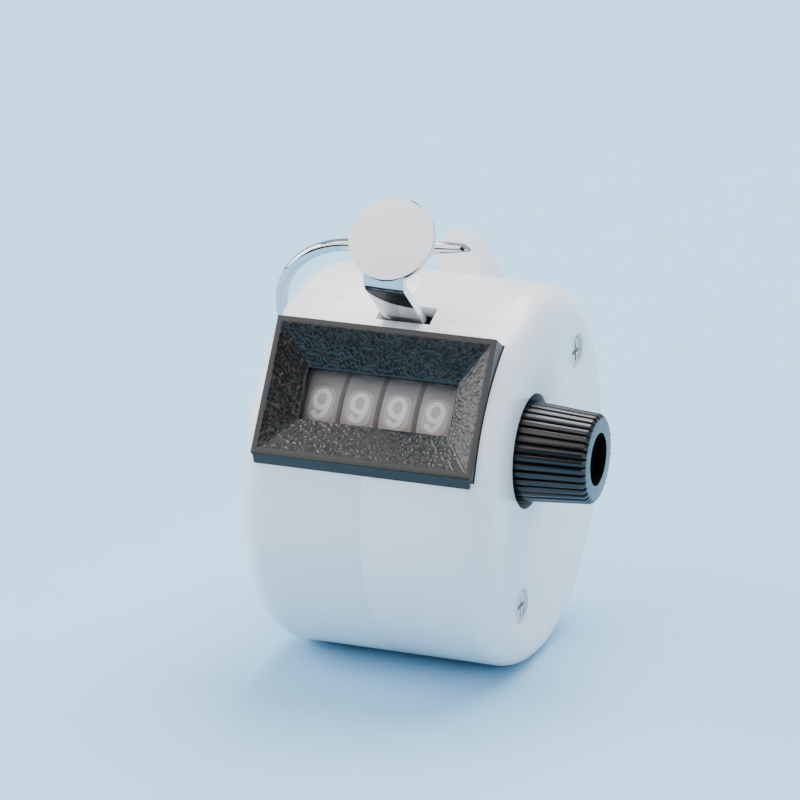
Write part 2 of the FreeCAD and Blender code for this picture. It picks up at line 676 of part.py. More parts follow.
def detent_spring():
    """Leaf comb on the front bar whose four fingers rest near the ratchets."""
    bar_y, bar_z = BAR_PLACES[0]
    leaf = 0.3
    y = bar_y + size("bar_radius") + 0.05 + leaf / 2
    half = size("finger_width") / 2
    low, high = wheel_gap(0) - half, wheel_gap(3) + half
    pieces = [drawn("detent_base", strip_shape([(y, bar_z - 1.6), (y, bar_z + 3.0)], 1, leaf, low, high))]
    rest = size("ratchet_radius") + 0.58
    tip = (WHEEL[0] - rest * math.cos(math.radians(22)), WHEEL[1] - rest * math.sin(math.radians(22)))
    for index in range(len(WHEEL_NAMES)):
        middle = wheel_gap(index)
        pieces.append(drawn("detent_finger_%d" % index,
                            strip_shape([(y, bar_z + 2.5), (y, tip[1] - 4), tip], 4, leaf,
                                        middle - half, middle + half)))
    node(join("detent_body", *pieces), "detent_spring")


def housing_screws():
    """Two cross-head screws from the right face into the left half's posts."""
    screws = []
    seat = HALF - size("screw_sink") + 0.02
    for index, place in enumerate(screw_places(), start=1):
        name = "screw_%d" % index
        shank = rod(name + "_shank", "Sizes.screw_radius", seat + 6.7, -6.5, place)
        head = rod(name + "_head", "Sizes.screw_head_radius", 0.6, seat, place)
        crown = doc.addObject("Part::Cone", name + "_crown")
        sized(crown, Radius1="Sizes.screw_head_radius", Radius2="Sizes.screw_head_radius - 0.5")
        crown.Height = 0.3
        crown.Placement = Placement(point(seat + 0.6, *place), Rotation(Vector(0, 1, 0), 90))
        tools = []
        for word, half_y, half_z in (("across", 1.1, 0.24), ("down", 0.24, 1.1)):
            tools.append(block("%s_%s" % (name, word), (seat + 0.35, place[0] - half_y, place[1] - half_z),
                               (seat + 2, place[0] + half_y, place[1] + half_z)))
        screws.append(cut(name + "_cut", join(name + "_body", shank, head, crown), *tools))
    node(group("screws", *screws), "housing_screws")


# ---------------------------------------------------------------- finger ring
def finger_ring():
    """D-shaped wire ring whose two turned-in ends pivot in the rib."""
    rest = math.radians(size("ring_rest_angle"))
    out = Vector(math.cos(rest), -math.sin(rest), 0)
    down = Vector(0, 0, 1)
    span, reach, corner = ring_span(), size("ring_reach"), size("ring_corner")
    small = size("wire_diameter") / 2 + 0.06
    turn = corner * (1 - math.cos(math.pi / 4))
    stub = size("stub_length")

    def spot(along, depth):
        return out * along + down * depth

    def bend(start, middle, end):
        return Part.Arc(start, middle, end).toShape()

    near = small * (1 - math.cos(math.pi / 4))
    edges = [
        Part.makeLine(spot(0, stub), spot(0, small)),
        bend(spot(0, small), spot(near, near), spot(small, 0)),
        Part.makeLine(spot(small, 0), spot(reach - corner, 0)),
        bend(spot(reach - corner, 0), spot(reach - turn, turn), spot(reach, corner)),
        Part.makeLine(spot(reach, corner), spot(reach, span - corner)),
        bend(spot(reach, span - corner), spot(reach - turn, span - turn), spot(reach - corner, span)),
        Part.makeLine(spot(reach - corner, span), spot(small, span)),
        bend(spot(small, span), spot(near, span - near), spot(0, span - small)),
        Part.makeLine(spot(0, span - small), spot(0, span - stub)),
    ]
    path = Part.Wire(edges)
    section = Part.Wire(Part.makeCircle(size("wire_diameter") / 2, spot(0, stub), Vector(0, 0, -1)))
    wire = path.makePipeShell([section], True, False)
    length_error = abs(wire.Volume / (Part.Face(section).Area * path.Length) - 1)
    if length_error > 0.01:
        raise RuntimeError("the ring's wire is not its section times its length")
    ring = drawn("ring_wire", wire)
    ring.Placement = ring_frame()
    return node(ring, "finger_ring")


# ---------------------------------------------------------------- build, check, write
def build():
    """Make every sub-part, then check and write each one."""
    left_shell()
    right_shell()
    bezel()
    window_lens()
    number_wheels()
    reset_group()
    thumb_lever()
    drive_pawl()
    pins()
    coil("return_coil", PIVOT, size("lever_middle_x") + size("lever_width") / 2 + 0.5, 6, "lever_return_spring")
    coil("pawl_coil", PAWL_PLACE, size("lever_middle_x") + size("lever_width") / 2 + 1.9, 3, "pawl_spring")
    frame_plates()
    spacer_bars()
    detent_spring()
    housing_screws()
    finger_ring()
    doc.recompute()
    for obj in doc.Objects:
        if {"Invalid", "Error"} & set(obj.State):
            raise RuntimeError("failed: %s %s" % (obj.Name, obj.State))
    for obj in finished:
        if obj.Shape.isNull() or not obj.Shape.isValid():
            raise RuntimeError("bad shape: " + obj.Label)
    os.makedirs("parts", exist_ok=True)
    for obj in finished:
        obj.Shape.exportStep("parts/%s.step" % obj.Label)
        print("%-22s solids %d volume %9.2f" % (obj.Label, len(obj.Shape.Solids), obj.Shape.Volume))
    print("centre height %.3f" % CENTRE_HEIGHT)


build()
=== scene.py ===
"""Looks of a hand tally counter: its finishes, number figures, window frame grain and studio."""
import json
import logging
import math
from dataclasses import dataclass, field
from typing import Any, Callable

import bmesh
import bpy
from mathutils import Matrix, Vector, noise


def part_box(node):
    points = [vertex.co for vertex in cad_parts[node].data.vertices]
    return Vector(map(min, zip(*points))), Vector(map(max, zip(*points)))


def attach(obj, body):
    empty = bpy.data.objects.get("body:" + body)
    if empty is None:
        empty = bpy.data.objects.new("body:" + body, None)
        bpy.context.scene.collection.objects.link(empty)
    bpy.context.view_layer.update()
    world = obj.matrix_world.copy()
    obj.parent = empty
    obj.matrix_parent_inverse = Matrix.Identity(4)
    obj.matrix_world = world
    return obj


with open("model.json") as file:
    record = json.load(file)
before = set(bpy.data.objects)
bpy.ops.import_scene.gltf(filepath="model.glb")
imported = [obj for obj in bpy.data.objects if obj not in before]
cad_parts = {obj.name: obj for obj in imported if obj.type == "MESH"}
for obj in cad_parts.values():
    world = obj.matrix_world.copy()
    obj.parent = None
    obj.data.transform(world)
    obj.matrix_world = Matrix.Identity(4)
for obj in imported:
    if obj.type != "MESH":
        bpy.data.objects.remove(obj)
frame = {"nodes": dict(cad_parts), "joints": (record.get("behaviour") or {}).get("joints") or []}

log = logging.getLogger("tally_counter")
MM = 0.001
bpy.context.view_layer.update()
WELD_REACH_MM = 0.0002
BEVEL_STEPS = 2
BROAD_PATCH_MM = 9.0
ARC_FEWEST_STEPS = 6
ARC_STEP_DEGREES = 12
FIGURE_BOX_HEIGHT = 1.3


# ---------------------------------------------------------------- colour and node helpers
def linear(code: str) -> tuple[float, float, float, float]:
    """Turn an sRGB hex colour into linear RGBA.

    Args:
        code: Colour such as "#E9EBF0".

    Returns:
        Linear red, green, blue and an alpha of 1.
    """
    parts = [int(code[i:i + 2], 16) / 255 for i in (1, 3, 5)]
    return tuple([p / 12.92 if p <= 0.04045 else ((p + 0.055) / 1.055) ** 2.4 for p in parts] + [1.0])


def add_node(tree: bpy.types.NodeTree, kind: str, links: dict[str, Any] | None = None,
             values: dict[str, Any] | None = None, **settings: Any) -> bpy.types.Node:
    """Add one node with its settings, socket values and incoming links.

    Args:
        tree: The material's node tree.
        kind: Blender's node type.
        links: Input name or index to a (node, output) pair.
        values: Input name or index to a constant.
        **settings: Properties of the node itself.

    Returns:
        The new node.
    """
    node = tree.nodes.new(kind)
    for name, value in settings.items():
        setattr(node, name, value)
    for name, value in (values or {}).items():
        node.inputs[name].default_value = value
    for name, (source, output) in (links or {}).items():
        tree.links.new(source.outputs[output], node.inputs[name])
    return node


def per_mm(size: float) -> float:
    """Texture scale for features of one size, on coordinates in metres.

    Args:
        size: The features' size, in millimetres.

    Returns:
        The scale.
    """
    return 1.0 / (size * MM)


# ---------------------------------------------------------------- finishes
@dataclass(frozen=True)
class Finish:
    """What every finish has: a name, a colour, a gloss and a fine surface texture."""

    name: str
    colour: str
    roughness: float
    roughness_spread: float = 0.03
    texture_mm: float = 0.4
    texture_height_mm: float = 0.002
    shade_spread: float = 0.02

    def shader_values(self) -> dict[str, Any]:
        """Constant values for the surface shader.

        Returns:
            Socket name to value.
        """
        return {"IOR": 1.5, "Metallic": 0.0}

    def surface(self, tree: bpy.types.NodeTree, place: bpy.types.Node) -> tuple[bpy.types.Node, str]:
        """Height field of the surface.

        Args:
            tree: The material's node tree.
            place: The texture coordinates.

        Returns:
            The node that holds the height, and its output's name.
        """
        fine = add_node(tree, "ShaderNodeTexNoise", {"Vector": (place, "Object")},
                        {"Scale": per_mm(self.texture_mm), "Detail": 3.0})
        return fine, "Fac"

    def material(self) -> bpy.types.Material:
        """Build the material once and return it.

        Returns:
            The node material of this finish.
        """
        found = bpy.data.materials.get(self.name)
        if found is not None:
            return found
        made = bpy.data.materials.new(self.name)
        made.use_nodes = True
        tree = made.node_tree
        tree.nodes.clear()
        place = add_node(tree, "ShaderNodeTexCoord")
        broad = add_node(tree, "ShaderNodeTexNoise", {"Vector": (place, "Object")},
                         {"Scale": per_mm(BROAD_PATCH_MM), "Detail": 2.0})
        tint = add_node(tree, "ShaderNodeValToRGB", {"Fac": (broad, "Fac")})
        base = linear(self.colour)
        for stop, change in zip(tint.color_ramp.elements, (1 - self.shade_spread, 1 + self.shade_spread)):
            stop.color = [min(1.0, channel * change) for channel in base[:3]] + [1.0]
        gloss = add_node(tree, "ShaderNodeMapRange", {"Value": (broad, "Fac")},
                         {"To Min": max(0.0, self.roughness - self.roughness_spread),
                          "To Max": self.roughness + self.roughness_spread})
        height, output = self.surface(tree, place)
        bump = add_node(tree, "ShaderNodeBump", {"Height": (height, output)},
                        {"Distance": self.texture_height_mm * MM, "Strength": 1.0})
        shader = add_node(tree, "ShaderNodeBsdfPrincipled",
                          {"Base Color": (tint, "Color"), "Roughness": (gloss, "Result"),
                           "Normal": (bump, "Normal")}, self.shader_values())
        add_node(tree, "ShaderNodeOutputMaterial", {"Surface": (shader, "BSDF")})
        return made


@dataclass(frozen=True)
class GlossyMouldedAbs(Finish):
    """ABS from a polished mould: an even, wet-looking white that light enters a little way."""

    def shader_values(self) -> dict[str, Any]:
        """ABS has an IOR near 1.54, and thin white walls glow slightly.

        Returns:
            Socket name to value.
        """
        return {"IOR": 1.54, "Subsurface Weight": 0.12, "Subsurface Radius": (0.0012, 0.0011, 0.0010),
                "Subsurface Scale": 1.0}


@dataclass(frozen=True)
class MouldedAbs(Finish):
    """Opaque coloured ABS: an even colour, with soft highlights along every edge."""

    def shader_values(self) -> dict[str, Any]:
        """ABS has an IOR near 1.54.

        Returns:
            Socket name to value.
        """
        return {"IOR": 1.54, "Specular IOR Level": 0.5}


@dataclass(frozen=True)
class PadPrintedInk(Finish):
    """Satin ink laid on by a soft pad, opaque and slightly uneven."""

    def shader_values(self) -> dict[str, Any]:
        """Dried ink has an IOR close to that of the plastic under it.

        Returns:
            Socket name to value.
        """
        return {"IOR": 1.54, "Specular IOR Level": 0.5}


@dataclass(frozen=True)
class WorkedMetal(Finish):
    """Polished, plated or bare metal, with only faint rolling marks."""

    def shader_values(self) -> dict[str, Any]:
        """Metal and metal plating are fully metallic.

        Returns:
            Socket name to value.
        """
        return {"Metallic": 1.0}


@dataclass(frozen=True)
class ClearAcrylic(Finish):
    """Thin polished acrylic with a faint haze of mould release and dust."""

    haze: float = 0.10

    def shader_values(self) -> dict[str, Any]:
        """Acrylic has an IOR of 1.49; the haze is what stays visible of the plate.

        Returns:
            Socket name to value.
        """
        return {"IOR": 1.49, "Alpha": self.haze}


WHITE_ABS = GlossyMouldedAbs("glossy moulded white ABS", "#F1F3F6", 0.24, 0.03, 0.8, 0.0012, 0.006)
FRAME_ABS = MouldedAbs("black moulded ABS window frame", "#0D0D0E", 0.38, 0.05, 0.25, 0.004, 0.06)
GRAIN_ABS = MouldedAbs("black ABS moulded with leather grain", "#040404", 0.30, 0.06, 0.12, 0.002, 0.10)
KNOB_ABS = MouldedAbs("black moulded ABS knob", "#050507", 0.27, 0.04, 0.3, 0.002, 0.06)
CHROME = WorkedMetal("bright chrome-plated steel", "#C6C8CC", 0.05, 0.02, 0.5, 0.0004, 0.01)
NICKEL = WorkedMetal("nickel-plated screw steel", "#C9C6C0", 0.20, 0.05, 0.2, 0.002, 0.03)
ZINC = WorkedMetal("yellow-passivated zinc on sheet steel", "#8E7A4C", 0.34, 0.06, 0.3, 0.002, 0.05)
SPRING = WorkedMetal("drawn spring steel", "#8C8C90", 0.28, 0.05, 0.2, 0.001, 0.05)
BRASS = WorkedMetal("turned brass", "#C9A558", 0.25, 0.05, 0.15, 0.001, 0.04)
WHEEL_PLASTIC = MouldedAbs("warm grey moulded wheel plastic", "#9C918D", 0.48, 0.05, 0.6, 0.002, 0.03)
PANEL_INK = PadPrintedInk("light grey pad-printed ink", "#BDB4B0", 0.45, 0.06, 0.2, 0.002, 0.06)
FIGURE_INK = PadPrintedInk("white figure ink", "#F7F6F4", 0.5, 0.04, 0.2, 0.001, 0.01)
ACRYLIC = ClearAcrylic("clear polished acrylic", "#A39B98", 0.10, 0.02, 2.0, 0.0005, 0.03, 0.13)


# ---------------------------------------------------------------- mesh helpers
def dress(node: str, finish: Finish, bevel_mm: float = 0.0, smooth_angle: float = 32.0) -> bpy.types.Object:
    """Give a CAD node its finish, smooth shading and lightly rounded edges.

    Args:
        node: The CAD node's name.
        finish: Its finish.
        bevel_mm: Width of the rounding, or 0 for none.
        smooth_angle: Edges sharper than this many degrees stay crisp.

    Returns:
        The node's object.
    """
    piece = frame["nodes"][node]
    mesh = piece.data
    if "custom_normal" in mesh.attributes:
        mesh.attributes.remove(mesh.attributes["custom_normal"])
    mesh.materials.clear()
    mesh.materials.append(finish.material())
    mesh.shade_smooth()
    weld = piece.modifiers.new("join corners", "WELD")
    weld.merge_threshold = WELD_REACH_MM * MM
    if bevel_mm > 0:
        bevel = piece.modifiers.new("mould radius", "BEVEL")
        bevel.width = bevel_mm * MM
        bevel.segments = BEVEL_STEPS
        bevel.limit_method = "ANGLE"
        bevel.angle_limit = math.radians(smooth_angle)
        bevel.harden_normals = False
    split = piece.modifiers.new("crisp edges", "EDGE_SPLIT")
    split.split_angle = math.radians(smooth_angle)
    log.info("dressed %s in %s", node, finish.name)
    return piece


def new_piece(name: str, mesh: bpy.types.Mesh, finish: Finish, body: str) -> bpy.types.Object:
    """Put a new mesh in the scene with a finish, riding on a body.

    Args:
        name: The piece's name.
        mesh: Its mesh, in metres.
        finish: Its finish.
        body: The body that it rides on.

    Returns:
        The new object.
    """
    piece = bpy.data.objects.new(name, mesh)
    bpy.context.scene.collection.objects.link(piece)
    mesh.materials.clear()
    mesh.materials.append(finish.material())
    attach(piece, body)
    log.info("built %s with %d faces", name, len(mesh.polygons))
    return piece


# ---------------------------------------------------------------- window frame's own axes
@dataclass(frozen=True)
class FaceAxes:
    """Axes of the window frame, which leans back from the drum's front."""

    lean: float = 31.57

    @property
    def up(self) -> Vector:
        """Unit vector up the face.

        Returns:
            The vector, in the object's frame.
        """
        return Vector((0, math.sin(math.radians(self.lean)), math.cos(math.radians(self.lean))))

    @property
    def out(self) -> Vector:
        """Unit vector out of the face.

        Returns:
            The vector, in the object's frame.
        """
        return Vector((0, -math.cos(math.radians(self.lean)), math.sin(math.radians(self.lean))))


FACE = FaceAxes()
DRUM_RADIUS_MM = 21.5
FLAT_WIDTH_MM = 7.7


def drum_height() -> float:
    """Height of the drum's centre line over the flat that it stands on.

    Returns:
        The height, in metres.
    """
    return math.sqrt(DRUM_RADIUS_MM ** 2 - (FLAT_WIDTH_MM / 2) ** 2) * MM


def wheel_axis() -> Vector:
    """Point on the number wheels' axis, from the reset joint.

    Returns:
        The point, in the object's frame.
    """
    joint = next(j for j in frame["joints"] if j["name"] == "knob_turn")
    return Vector(joint["pos_m"])


# ---------------------------------------------------------------- sub-assemblies
@dataclass
class Case:
    """White drum in two shells, with its screws."""

    shell_round_mm: float = 0.12
    screw_round_mm: float = 0.06

    def build(self) -> None:
        """Dress both shells and the screws."""
        for node in ("left_shell", "right_shell"):
            dress(node, WHITE_ABS, self.shell_round_mm)
        dress("housing_screws", NICKEL, self.screw_round_mm)


@dataclass
class Window:
    """Black frame with four grained sloping faces and its clear plate."""

    edge_round_mm: float = 0.12
    plate_round_mm: float = 0.05
    crisp_angle: float = 20.0
    width_mm: float = 25.26
    height_mm: float = 15.63
    offset_mm: float = 1.91
    rim_mm: float = 0.57
    funnel_depth_mm: float = 1.8
    window_width_mm: float = 17.24
    window_height_mm: float = 5.8
    window_offset_mm: float = 1.79
    front_mm: float = 21.56
    grid_mm: float = 0.11
    wrinkle_mm: float = 0.42
    wrinkle_height_mm: float = 0.11
    ridge_width: float = 0.26
    ridge_roundness: float = 0.8
    bend_scale: float = 0.9
    bend_amount: float = 0.55
    unevenness_scale: float = 0.31
    unevenness: float = 0.25
    lift_mm: float = 0.01
    tuck_mm: float = 0.03
    border_cells: int = 3
    seed: int = 4

    def build(self) -> None:
        """Dress the frame and the plate, and lay the grain on the sloping faces."""
        dress("bezel", FRAME_ABS, self.edge_round_mm, self.crisp_angle)
        dress("window_lens", ACRYLIC, self.plate_round_mm)
        new_piece("window_frame_grain", self.grain(), GRAIN_ABS, "case")

    def spot(self, across: float, up: float, out: float) -> Vector:
        """A place on the frame's own axes, in millimetres from the drum's centre line.

        Args:
            across: Along X.
            up: Up the frame's face.
            out: Out of the face.

        Returns:
            The place in metres, in the object's frame.
        """
        return Vector((across * MM, 0, drum_height())) + (FACE.up * up + FACE.out * out) * MM

    def corners(self, half_width: float, half_height: float, middle: float, out: float) -> list[Vector]:
        """Four corners of a rectangle on the frame's axes, in turn.

        Args:
            half_width: Half its width, in millimetres.
            half_height: Half its height, in millimetres.
            middle: How far up the face its middle lies.
            out: How far out of the drum it lies.

        Returns:
            The corners in metres.
        """
        signs = ((-1, -1), (1, -1), (1, 1), (-1, 1))
        return [self.spot(x * half_width, middle + t * half_height, out) for x, t in signs]

    def wrinkle(self, place: Vector) -> float:
        """Height of the embossed grain at a place: raised worm-like ridges.

        Args:
            place: The place, in metres.

        Returns:
            The height, from 0 to 1.
        """
        scaled = place * per_mm(self.wrinkle_mm)
        bent = scaled + noise.noise_vector(scaled * self.bend_scale) * self.bend_amount
        ridge = max(0.0, 1.0 - abs(noise.noise(bent)) / self.ridge_width)
        patches = noise.noise(scaled * self.unevenness_scale)
        return ridge ** self.ridge_roundness * (1 - self.unevenness + self.unevenness * patches)

    def grain(self) -> bpy.types.Mesh:
        """Fine grids over the four sloping faces, raised by the grain and tucked in at their borders.

        Returns:
            One mesh of the four faces.
        """
        outer = self.corners(self.width_mm / 2 - self.rim_mm, self.height_mm / 2 - self.rim_mm,
                             self.offset_mm, self.front_mm)
        inner = self.corners(self.window_width_mm / 2, self.window_height_mm / 2,
                             self.window_offset_mm, self.front_mm - self.funnel_depth_mm)
        noise.seed_set(self.seed)
        made = bmesh.new()
        for side in range(4):
            after = (side + 1) % 4
            self.slope(made, outer[side], outer[after], inner[side], inner[after])
        mesh = bpy.data.meshes.new("window_frame_grain")
        made.to_mesh(mesh)
        made.free()
        mesh.shade_smooth()
        return mesh

    def slope(self, made: bmesh.types.BMesh, a: Vector, b: Vector, c: Vector, d: Vector) -> None:
        """Add one sloping face as a displaced grid.

        Args:
            made: Mesh to add to.
            a: Outer edge's start.
            b: Outer edge's end.
            c: Inner edge's start.
            d: Inner edge's end.
        """
        normal = (b - a).cross(c - a).normalized()
        if normal.dot(FACE.out) < 0:
            normal.negate()
        columns = max(2, round((b - a).length / (self.grid_mm * MM)))
        rows = max(2, round(((a + b) / 2 - (c + d) / 2).length / (self.grid_mm * MM)))
        grid = []
        for row in range(rows + 1):
            down = row / rows
            left, right = a.lerp(c, down), b.lerp(d, down)
            line = []
            for column in range(columns + 1):
                place = left.lerp(right, column / columns)
                border = min(row, rows - row, column, columns - column)
                rise = self.wrinkle(place) * self.wrinkle_height_mm * min(1.0, border / self.border_cells)
                if border == 0:
                    rise = -self.tuck_mm
                line.append(made.verts.new(place + normal * (rise + self.lift_mm) * MM))
            grid.append(line)
        for upper, lower in zip(grid, grid[1:]):
            for column in range(columns):
                face = made.faces.new((upper[column], upper[column + 1], lower[column + 1], lower[column]))
                face.normal_update()
                if face.normal.dot(normal) < 0:
                    face.normal_flip()


@dataclass
class NumberWheels:
    """Four wheels, each with ten printed patches and ten raised white figures on them."""

    names: tuple[str, ...] = ("thousands", "hundreds", "tens", "units")
    figure_height_mm: float = 3.5
    figure_width_mm: float = 2.5
    stroke_mm: float = 0.54
    figure_raise_degrees: float = 2.6
    panel_width_mm: float = 2.9
    panel_height_mm: float = 4.1
    panel_rounding: float = 0.8
    panel_rows: int = 24
    stroke_end: float = 0.6
    longest_edge_mm: float = 0.3
    tooth_round_mm: float = 0.08
    relief_mm: float = 0.05
    panel_relief_mm: float = 0.015
    sunk_mm: float = 0.02
    rim_mm: float = 3.8
    shown: int = 9
    count: int = 10
    reach: float = field(init=False, default=0.0)

    def build(self) -> None:
        """Dress the wheels and add their figures."""
        for name in self.names:
            node = name + "_wheel"
            dress(node, WHEEL_PLASTIC, self.tooth_round_mm)
            low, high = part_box(node)
            self.reach = (high[2] - low[2]) / 2
            rim_middle = low[0] + self.rim_mm / 2 * MM
            figures = self.wrapped(name + "_figures", rim_middle, self.flat_figure, self.relief_mm)
            new_piece(name + "_figures", figures, FIGURE_INK, name)
            panels = self.wrapped(name + "_panels", rim_middle, self.flat_panel, self.panel_relief_mm)
            new_piece(name + "_panels", panels, PANEL_INK, name)

    def strokes(self, digit: int) -> list[list[tuple[float, float]]]:
        """Centre lines of one round-ended digit, in a box 1 wide and 1.3 high.

        Args:
            digit: The figure.

        Returns:
            One list of points for each stroke.
        """
        def arc(x: float, y: float, wide: float, tall: float,
                start: float, end: float) -> list[tuple[float, float]]:
            """Points along part of an ellipse.

            Args:
                x: Its centre, across.
                y: Its centre, up.
                wide: Half its width.
                tall: Half its height.
                start: Angle of the first point, in degrees.
                end: Angle of the last point, in degrees.

            Returns:
                The points.
            """
            steps = max(ARC_FEWEST_STEPS, int(abs(end - start) / ARC_STEP_DEGREES))
            turns = [math.radians(start + (end - start) * k / steps) for k in range(steps + 1)]
            return [(x + wide * math.cos(turn), y + tall * math.sin(turn)) for turn in turns]

        shapes = {
            0: [arc(0.5, 0.65, 0.42, 0.65, 0, 360)],
            1: [[(0.2, 1.0), (0.55, 1.3), (0.55, 0.0)]],
            2: [arc(0.5, 0.92, 0.4, 0.38, 165, -35) + [(0.08, 0.0), (0.95, 0.0)]],
            3: [arc(0.48, 0.97, 0.36, 0.33, 150, -90), arc(0.48, 0.33, 0.42, 0.33, 90, -150)],
            4: [[(0.72, 0.0), (0.72, 1.3), (0.05, 0.4), (1.0, 0.4)]],
            5: [[(0.88, 1.3), (0.2, 1.3), (0.14, 0.72)] + arc(0.48, 0.42, 0.42, 0.42, 130, -145)],
            6: [arc(0.5, 0.43, 0.42, 0.43, 0, 360), arc(0.98, 0.5, 0.9, 0.85, 175, 105)],
            7: [[(0.06, 1.3), (0.92, 1.3), (0.36, 0.0)]],
            8: [arc(0.5, 0.98, 0.34, 0.32, 0, 360), arc(0.5, 0.34, 0.42, 0.34, 0, 360)],
            9: [arc(0.5, 0.87, 0.42, 0.43, 0, 360),
                arc(0.42, 0.87, 0.5, 0.87, 0, -60) + arc(0.42, 0.38, 0.38, 0.38, -62, -150)],
        }
        return shapes[digit]

    def flat_figure(self, digit: int) -> bpy.types.Mesh:
        """One digit as a thin flat mesh in metres, centred on the origin.

        Args:
            digit: The figure.

        Returns:
            Its mesh, in the XY plane.
        """
        half = self.stroke_mm / 2 * MM
        wide = (self.figure_width_mm - self.stroke_mm) * MM
        tall = (self.figure_height_mm - self.stroke_mm) * MM / FIGURE_BOX_HEIGHT
        flat = bmesh.new()
        for stroke in self.strokes(digit):
            path = [Vector(((x - 0.5) * wide, (y - FIGURE_BOX_HEIGHT / 2) * tall, 0)) for x, y in stroke]
            closed = (path[0] - path[-1]).length < 1e-6
            path = path[:-1] if closed else path
            count = len(path)
            pairs = []
            for index, place in enumerate(path):
                before = path[index - 1] if index or closed else place
                after = path[(index + 1) % count] if index < count - 1 or closed else place
                ahead = (after - before).normalized()
                side = Vector((-ahead.y, ahead.x, 0)) * half
                cap = Vector((0, 0, 0))
                if not closed and index in (0, count - 1):
                    cap = ahead * half * (-self.stroke_end if index == 0 else self.stroke_end)
                pairs.append([flat.verts.new(place + side + cap), flat.verts.new(place - side + cap)])
            last = count if closed else count - 1
            for index in range(last):
                one, two = pairs[index], pairs[(index + 1) % count]
                flat.faces.new((one[0], one[1], two[1], two[0]))
        mesh = bpy.data.meshes.new("figure")
        flat.to_mesh(mesh)
        flat.free()
        return mesh

    def flat_panel(self, _digit: int) -> bpy.types.Mesh:
        """The printed patch behind a figure: a flat rounded plate in metres, centred on the origin.

        Args:
            _digit: The figure, which changes nothing here.

        Returns:
            Its mesh, in the XY plane.
        """
        half_wide = self.panel_width_mm / 2 * MM
        half_tall = self.panel_height_mm / 2 * MM
        bend = half_wide * self.panel_rounding
        flat = bmesh.new()
        line = []
        for row in range(self.panel_rows + 1):
            y = half_tall * (2 * row / self.panel_rows - 1)
            into = max(0.0, abs(y) - (half_tall - bend)) / bend
            x = half_wide - bend + bend * math.sqrt(max(0.0, 1 - into * into))
            line.append((flat.verts.new((-x, y, 0)), flat.verts.new((x, y, 0))))
        for lower, upper in zip(line, line[1:]):
            flat.faces.new((lower[0], lower[1], upper[1], upper[0]))
        mesh = bpy.data.meshes.new("panel")
        flat.to_mesh(mesh)
        flat.free()
        return mesh

    def wrapped(self, name: str, middle: float, shape: Callable[[int], bpy.types.Mesh],
                relief_mm: float) -> bpy.types.Mesh:
        """Ten flat shapes of one wheel, wrapped round its rim and raised from it.

        Args:
            name: Name of the new mesh.
            middle: Place of the rim's middle along X.
            shape: Makes the flat shape of one digit.
            relief_mm: How far its face stands off the rim.

        Returns:
            One mesh of ten raised shapes.
        """
        axis = wheel_axis()
        whole = bmesh.new()
        for digit in range(self.count):
            steps = (digit - self.shown) % self.count
            centre = -2 * math.pi * steps / self.count + math.radians(self.figure_raise_degrees)
            part = bmesh.new()
            part.from_mesh(shape(digit))
            for _ in range(2):
                long_edges = [e for e in part.edges if e.calc_length() > self.longest_edge_mm * MM]
                bmesh.ops.subdivide_edges(part, edges=long_edges, cuts=1)
            top = bmesh.ops.extrude_face_region(part, geom=part.faces[:])
            raised = {v for v in top["geom"] if isinstance(v, bmesh.types.BMVert)}
            for vert in part.verts:
                reach = self.reach + (relief_mm if vert in raised else -self.sunk_mm) * MM
                angle = centre + vert.co.y / self.reach
                across = Vector((middle + vert.co.x, axis.y, axis.z))
                vert.co = across + (FACE.out * math.cos(angle) + FACE.up * math.sin(angle)) * reach
            bmesh.ops.recalc_face_normals(part, faces=part.faces[:])
            spare = bpy.data.meshes.new("wrapped part")
            part.to_mesh(spare)
            part.free()
            whole.from_mesh(spare)
        mesh = bpy.data.meshes.new(name)
        whole.to_mesh(mesh)
        whole.free()
        return mesh


@dataclass
class Controls:
    """What the hand touches: the chrome lever, the black knob and the wire ring."""

    lever_round_mm: float = 0.14
    flute_round_mm: float = 0.05
    flute_angle: float = 20.0

    def build(self) -> None:
        """Dress the lever, the knob and the ring."""
        dress("thumb_lever", CHROME, self.lever_round_mm)
        dress("reset_knob", KNOB_ABS, self.flute_round_mm, self.flute_angle)
        dress("finger_ring", CHROME)


@dataclass
class Movement:
    """Side plates, shaft, pins, springs and pawl inside the drum."""

    steel: tuple[str, ...] = ("left_frame_plate", "right_frame_plate", "frame_spacer_bars", "lever_pivot_pin",
                              "drive_pawl", "pawl_pin", "reset_shaft")
    springs: tuple[str, ...] = ("detent_spring", "lever_return_spring", "pawl_spring", "shaft_clip")
    sleeves: tuple[str, ...] = ("left_spacer_sleeve", "right_spacer_sleeve")
    edge_round_mm: float = 0.04

    def build(self) -> None:
        """Dress every inner part."""
        for names, finish in ((self.steel, ZINC), (self.springs, SPRING), (self.sleeves, BRASS)):
            for node in names:
                dress(node, finish, self.edge_round_mm)


